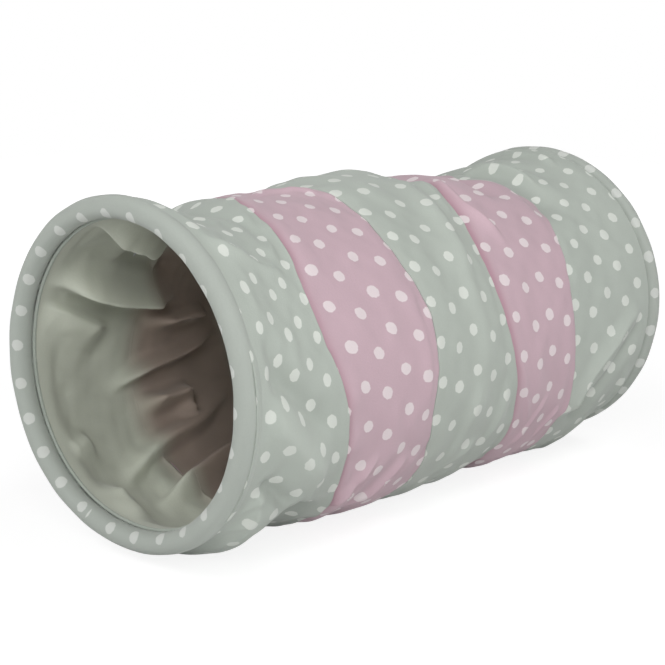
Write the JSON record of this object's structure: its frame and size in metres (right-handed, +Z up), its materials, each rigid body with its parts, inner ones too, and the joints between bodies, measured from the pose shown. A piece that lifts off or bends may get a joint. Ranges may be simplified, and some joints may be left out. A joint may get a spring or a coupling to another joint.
{
  "type": "pet play tunnel",
  "caption": "Round cloth play tunnel for a small pet, with padded hoop mouths and a spring wire between its two cloths, that presses flat end to end.",
  "frame": {"origin": "on the floor, under the middle of the tunnel", "axes": "+X along the tunnel from the front mouth to the rear mouth, +Z up; the side that the picture shows faces -Y"},
  "size_m": [0.4988, 0.2524, 0.255],
  "materials": {
    "rim_cloth": "brushed cotton, printed dots",
    "grey_cloth": "brushed cotton, printed dots",
    "pink_cloth": "brushed cotton, printed dots",
    "grey_lining": "plain brushed cotton",
    "pink_lining": "plain brushed cotton",
    "piping_cloth": "corded cotton seam",
    "padding": "soft foam strip",
    "spring_steel": "bare spring steel",
    "cap_rubber": "matt rubber"
  },
  "bodies": {
    "rear_end": {"rear_rim_cover": "rim_cloth", "rear_rim_padding": "padding", "rear_hoop_wire": "spring_steel", "rear_hoop_sleeve": "spring_steel", "rear_rim_piping": "piping_cloth", "rear_wire_cap": "cap_rubber", "spiral_wire": "spring_steel"},
    "front_end": {"front_rim_cover": "rim_cloth", "front_rim_padding": "padding", "front_hoop_wire": "spring_steel", "front_hoop_sleeve": "spring_steel", "front_rim_piping": "piping_cloth", "front_wire_cap": "cap_rubber"},
    "front_grey_section": {"front_grey_panel": "grey_cloth", "front_grey_lining": "grey_lining"},
    "front_pink_section": {"front_pink_panel": "pink_cloth", "front_pink_lining": "pink_lining"},
    "middle_grey_section": {"middle_grey_panel": "grey_cloth", "middle_grey_lining": "grey_lining"},
    "rear_pink_section": {"rear_pink_panel": "pink_cloth", "rear_pink_lining": "pink_lining"},
    "rear_grey_section": {"rear_grey_panel": "grey_cloth", "rear_grey_lining": "grey_lining"}
  },
  "joints": [
    {"name": "collapse", "type": "slide", "parent": "rear_end", "child": "front_end", "axis": [1, 0, 0], "range_m": [0, 0.42], "stiffness_N_per_m": 12, "deforming": ["front_grey_panel", "front_grey_lining", "front_pink_panel", "front_pink_lining", "middle_grey_panel", "middle_grey_lining", "rear_pink_panel", "rear_pink_lining", "rear_grey_panel", "rear_grey_lining", "spiral_wire"]},
    {"name": "front_grey_gather", "type": "slide", "parent": "rear_end", "child": "front_grey_section", "axis": [1, 0, 0], "range_m": [0, 0.3838], "deforming": ["front_grey_panel", "front_grey_lining"]},
    {"name": "front_pink_gather", "type": "slide", "parent": "rear_end", "child": "front_pink_section", "axis": [1, 0, 0], "range_m": [0, 0.2974], "deforming": ["front_pink_panel", "front_pink_lining"]},
    {"name": "middle_grey_gather", "type": "slide", "parent": "rear_end", "child": "middle_grey_section", "axis": [1, 0, 0], "range_m": [0, 0.2134], "deforming": ["middle_grey_panel", "middle_grey_lining"]},
    {"name": "rear_pink_gather", "type": "slide", "parent": "rear_end", "child": "rear_pink_section", "axis": [1, 0, 0], "range_m": [0, 0.1313], "deforming": ["rear_pink_panel", "rear_pink_lining"]},
    {"name": "rear_grey_gather", "type": "slide", "parent": "rear_end", "child": "rear_grey_section", "axis": [1, 0, 0], "range_m": [0, 0.0419], "deforming": ["rear_grey_panel", "rear_grey_lining"]}
  ],
  "couplings": [
    {"joint": "front_grey_gather", "follows": "collapse", "ratio": 0.9127},
    {"joint": "front_pink_gather", "follows": "collapse", "ratio": 0.7069},
    {"joint": "middle_grey_gather", "follows": "collapse", "ratio": 0.507},
    {"joint": "rear_pink_gather", "follows": "collapse", "ratio": 0.3114},
    {"joint": "rear_grey_gather", "follows": "collapse", "ratio": 0.0986}
  ]
}
